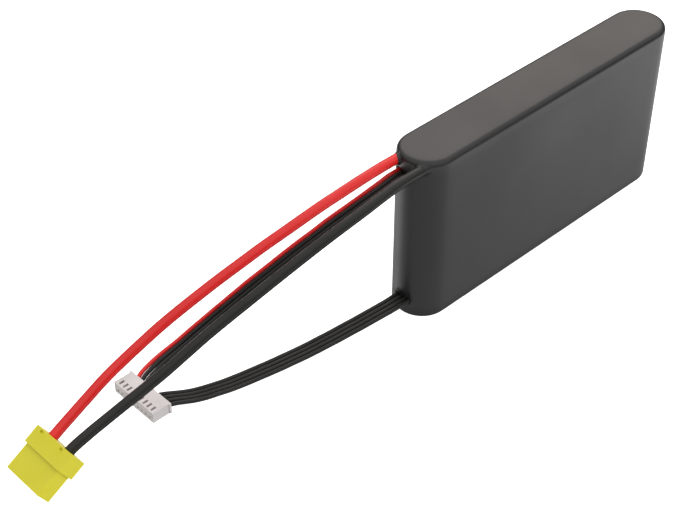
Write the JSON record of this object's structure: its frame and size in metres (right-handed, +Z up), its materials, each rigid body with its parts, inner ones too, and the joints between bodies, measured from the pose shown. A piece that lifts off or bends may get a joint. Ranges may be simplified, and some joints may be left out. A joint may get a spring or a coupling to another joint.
{
  "type": "battery pack",
  "caption": "Slab-shaped soft-cell battery pack with half-round ends in shrink film, with red and black main leads to a yellow plug and balance wires to white housings.",
  "frame": {"origin": "middle of the case's footprint, on the surface that the pack stands on, without the leads", "axes": "+X along the case, away from the leads; +Y the case's thin direction, towards the plugs' side; +Z up"},
  "size_m": [0.3347, 0.0594, 0.082],
  "materials": {
    "wrap_film": "satin shrink film",
    "end_foam": "closed-cell foam",
    "side_board": "glass-fibre board",
    "strip_foam": "closed-cell foam",
    "pouch_foil": "satin laminate foil",
    "adhesive_pad": "matte film",
    "insulating_tape": "amber film",
    "aluminium_tab": "satin",
    "nickel_tab": "satin",
    "board_laminate": "solder resist",
    "copper": "satin",
    "red_insulation": "silicone rubber",
    "black_insulation": "silicone rubber",
    "tinned_copper": "stranded",
    "white_nylon": "moulded",
    "tinned_contact": "bright",
    "yellow_nylon": "moulded",
    "gold_contact": "bright plating"
  },
  "bodies": {
    "root": {"shrink_wrap": "wrap_film", "lead_end_block": "end_foam", "tail_block": "end_foam", "near_side_plate": "side_board", "far_side_plate": "side_board", "top_edge_strip": "strip_foam", "bottom_edge_strip": "strip_foam", "stack_divider": "strip_foam", "upper_cell_1": "pouch_foil", "upper_cell_2": "pouch_foil", "upper_cell_3": "pouch_foil", "lower_cell_1": "pouch_foil", "lower_cell_2": "pouch_foil", "lower_cell_3": "pouch_foil", "upper_cell_pads": "adhesive_pad", "lower_cell_pads": "adhesive_pad", "front_tape_band": "insulating_tape", "rear_tape_band": "insulating_tape", "upper_aluminium_tabs": "aluminium_tab", "upper_nickel_tabs": "nickel_tab", "lower_aluminium_tabs": "aluminium_tab", "lower_nickel_tabs": "nickel_tab", "upper_tab_board": "board_laminate", "lower_tab_board": "board_laminate", "positive_bus_strip": "copper", "negative_bus_strip": "copper", "series_link": "copper", "positive_lead": "red_insulation", "negative_lead": "black_insulation", "positive_core_ends": "tinned_copper", "negative_core_ends": "tinned_copper", "upper_balance_wire_1": "red_insulation", "upper_balance_wire_2": "black_insulation", "upper_balance_wire_3": "black_insulation", "upper_balance_wire_4": "black_insulation", "lower_balance_wire_1": "black_insulation", "lower_balance_wire_2": "black_insulation", "lower_balance_wire_3": "black_insulation", "lower_balance_wire_4": "black_insulation", "upper_balance_housing": "white_nylon", "lower_balance_housing": "white_nylon", "upper_balance_contacts": "tinned_contact", "lower_balance_contacts": "tinned_contact", "plug_housing": "yellow_nylon", "plug_cap": "yellow_nylon", "positive_socket": "gold_contact", "negative_socket": "gold_contact"}
  },
  "joints": []
}
